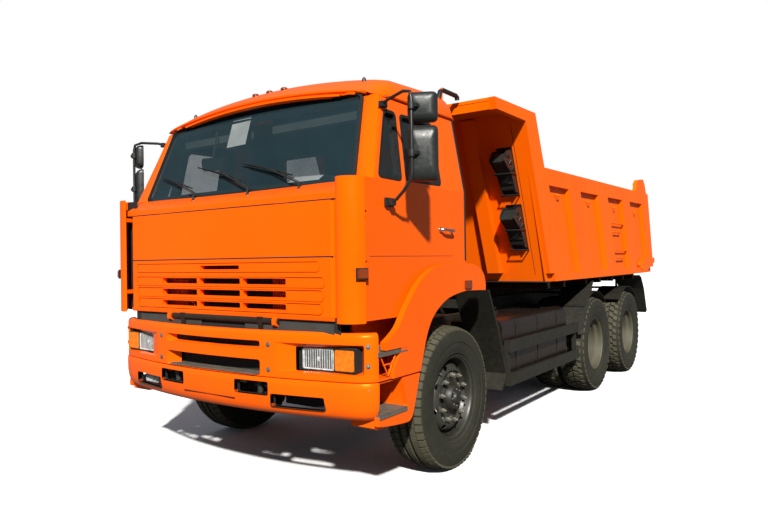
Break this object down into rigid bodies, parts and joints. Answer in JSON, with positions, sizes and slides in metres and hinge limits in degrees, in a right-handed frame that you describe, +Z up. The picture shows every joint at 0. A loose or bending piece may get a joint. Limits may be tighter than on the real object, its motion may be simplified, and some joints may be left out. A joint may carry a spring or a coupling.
{
  "type": "dump truck",
  "caption": "Heavy rear-tipping truck: tilt cab over the engine, steered front wheels, twin-wheel bogie, ribbed steel body with cab canopy, telescopic hoist and swinging tailgate.",
  "frame": {"origin": "on the ground under the middle of the truck's length and width", "axes": "+X to the truck's left, +Y to its rear, +Z up"},
  "size_m": [3.1016, 7.55, 2.9069],
  "materials": {
    "body_paint": "gloss",
    "bed_paint": "gloss",
    "chassis_paint": "matt",
    "wheel_paint": "satin",
    "tank_paint": "satin",
    "hoist_steel": "polished",
    "cast": "matt",
    "glass": "clear",
    "lamp_glass": "clear",
    "black_plastic": "matt",
    "tyre": "matt",
    "trim": "matt"
  },
  "bodies": {
    "chassis": {"frame": "chassis_paint", "subframe": "chassis_paint", "springs": "cast", "front_axle": "cast", "drive_axles": "cast", "engine_block": "cast", "radiator": "chassis_paint", "bumper": "body_paint", "lamps": "lamp_glass", "lower_steps": "body_paint", "mudguards": "chassis_paint", "fuel_tank": "tank_paint", "battery_and_air": "chassis_paint", "guards": "chassis_paint"},
    "cab": {"cab_floor": "body_paint", "cab_sides": "body_paint", "cab_rear": "body_paint", "cab_front": "body_paint", "cab_glass": "glass", "cab_roof": "body_paint", "corner_deflectors": "body_paint", "wings": "body_paint", "dashboard": "black_plastic", "seats": "trim"},
    "front_flap": {"front_panel": "body_paint", "grille": "body_paint"},
    "door_left": {"door_left": "body_paint", "door_glass_left": "glass", "mirrors_left": "black_plastic"},
    "door_right": {"door_right": "body_paint", "door_glass_right": "glass", "mirrors_right": "black_plastic"},
    "bed": {"bed_sides": "bed_paint", "bed_front": "bed_paint", "bed_floor": "bed_paint", "wheel_chocks": "black_plastic"},
    "tailgate": {"tailgate": "bed_paint"},
    "steer_knuckle_left": {"knuckle_left": "cast"},
    "steer_knuckle_right": {"knuckle_right": "cast"},
    "tie_rod": {"tie_rod": "cast"},
    "hoist_barrel": {"hoist_barrel": "chassis_paint"},
    "hoist_stage_1": {"hoist_stage_1": "hoist_steel"},
    "hoist_stage_2": {"hoist_stage_2": "hoist_steel"},
    "hoist_stage_3": {"hoist_stage_3": "hoist_steel"},
    "hoist_stage_4": {"hoist_stage_4": "hoist_steel"},
    "hoist_rod": {"hoist_rod": "hoist_steel"},
    "wheel_front_left": {"front_tyre_left": "tyre", "front_rim_left": "wheel_paint"},
    "wheel_mid_left": {"mid_tyres_left": "tyre", "mid_rims_left": "wheel_paint"},
    "wheel_rear_left": {"rear_tyres_left": "tyre", "rear_rims_left": "wheel_paint"},
    "wheel_front_right": {"front_tyre_right": "tyre", "front_rim_right": "wheel_paint"},
    "wheel_mid_right": {"mid_tyres_right": "tyre", "mid_rims_right": "wheel_paint"},
    "wheel_rear_right": {"rear_tyres_right": "tyre", "rear_rims_right": "wheel_paint"}
  },
  "joints": [
    {"name": "steering_left", "type": "hinge", "parent": "chassis", "child": "steer_knuckle_left", "pos_m": [0.85, -2.485, 0.521], "axis": [0, 0, 1], "range_deg": [-35, 35]},
    {"name": "steering_right", "type": "hinge", "parent": "chassis", "child": "steer_knuckle_right", "pos_m": [-0.85, -2.485, 0.521], "axis": [0, 0, 1], "range_deg": [-35, 35]},
    {"name": "tie_rod_shift", "type": "slide", "parent": "chassis", "child": "tie_rod", "axis": [1, 0, 0], "range_m": [-0.105, 0.105]},
    {"name": "front_wheel_spin_left", "type": "hinge", "parent": "steer_knuckle_left", "child": "wheel_front_left", "pos_m": [1.05, -2.485, 0.521], "axis": [1, 0, 0], "continuous": true},
    {"name": "mid_wheels_spin_left", "type": "hinge", "parent": "chassis", "child": "wheel_mid_left", "pos_m": [0.9125, 0.855, 0.538], "axis": [1, 0, 0], "continuous": true},
    {"name": "rear_wheels_spin_left", "type": "hinge", "parent": "chassis", "child": "wheel_rear_left", "pos_m": [0.9125, 2.295, 0.538], "axis": [1, 0, 0], "continuous": true},
    {"name": "front_wheel_spin_right", "type": "hinge", "parent": "steer_knuckle_right", "child": "wheel_front_right", "pos_m": [-1.05, -2.485, 0.521], "axis": [1, 0, 0], "continuous": true},
    {"name": "mid_wheels_spin_right", "type": "hinge", "parent": "chassis", "child": "wheel_mid_right", "pos_m": [-0.9125, 0.855, 0.538], "axis": [1, 0, 0], "continuous": true},
    {"name": "rear_wheels_spin_right", "type": "hinge", "parent": "chassis", "child": "wheel_rear_right", "pos_m": [-0.9125, 2.295, 0.538], "axis": [1, 0, 0], "continuous": true},
    {"name": "cab_tilt", "type": "hinge", "parent": "chassis", "child": "cab", "pos_m": [0, -3.65, 1.15], "axis": [1, 0, 0], "range_deg": [0, 50]},
    {"name": "front_flap_lift", "type": "hinge", "parent": "cab", "child": "front_flap", "pos_m": [0, -3.658, 1.903], "axis": [-1, 0, 0], "range_deg": [0, 80]},
    {"name": "door_left_swing", "type": "hinge", "parent": "cab", "child": "door_left", "pos_m": [1.19, -3.585, 1.8], "axis": [0, 0, -1], "range_deg": [0, 70]},
    {"name": "door_right_swing", "type": "hinge", "parent": "cab", "child": "door_right", "pos_m": [-1.19, -3.585, 1.8], "axis": [0, 0, 1], "range_deg": [0, 70]},
    {"name": "bed_tip", "type": "hinge", "parent": "chassis", "child": "bed", "pos_m": [0, 2.915, 1.08], "axis": [-1, 0, 0], "range_deg": [0, 50]},
    {"name": "tailgate_swing", "type": "hinge", "parent": "bed", "child": "tailgate", "pos_m": [0, 3.083, 2.578], "axis": [1, 0, 0], "range_deg": [0, 55]},
    {"name": "hoist_lean", "type": "hinge", "parent": "chassis", "child": "hoist_barrel", "pos_m": [0, 0.215, 0.95], "axis": [-1, 0, 0], "range_deg": [0, 26]},
    {"name": "hoist_extend_1", "type": "slide", "parent": "hoist_barrel", "child": "hoist_stage_1", "axis": [0, 0, 1], "range_m": [0, 0.4515]},
    {"name": "hoist_extend_2", "type": "slide", "parent": "hoist_stage_1", "child": "hoist_stage_2", "axis": [0, 0, 1], "range_m": [0, 0.4515]},
    {"name": "hoist_extend_3", "type": "slide", "parent": "hoist_stage_2", "child": "hoist_stage_3", "axis": [0, 0, 1], "range_m": [0, 0.4515]},
    {"name": "hoist_extend_4", "type": "slide", "parent": "hoist_stage_3", "child": "hoist_stage_4", "axis": [0, 0, 1], "range_m": [0, 0.4515]},
    {"name": "hoist_extend_5", "type": "slide", "parent": "hoist_stage_4", "child": "hoist_rod", "axis": [0, 0, 1], "range_m": [0, 0.4515]}
  ],
  "couplings": [
    {"joint": "steering_right", "follows": "steering_left", "ratio": 1},
    {"joint": "tie_rod_shift", "follows": "steering_left", "m_per_rad": -0.169},
    {"joint": "hoist_lean", "follows": "bed_tip", "ratio": 0.506},
    {"joint": "hoist_extend_1", "follows": "bed_tip", "m_per_rad": 0.5166},
    {"joint": "hoist_extend_2", "follows": "bed_tip", "m_per_rad": 0.5166},
    {"joint": "hoist_extend_3", "follows": "bed_tip", "m_per_rad": 0.5166},
    {"joint": "hoist_extend_4", "follows": "bed_tip", "m_per_rad": 0.5166},
    {"joint": "hoist_extend_5", "follows": "bed_tip", "m_per_rad": 0.5166}
  ]
}
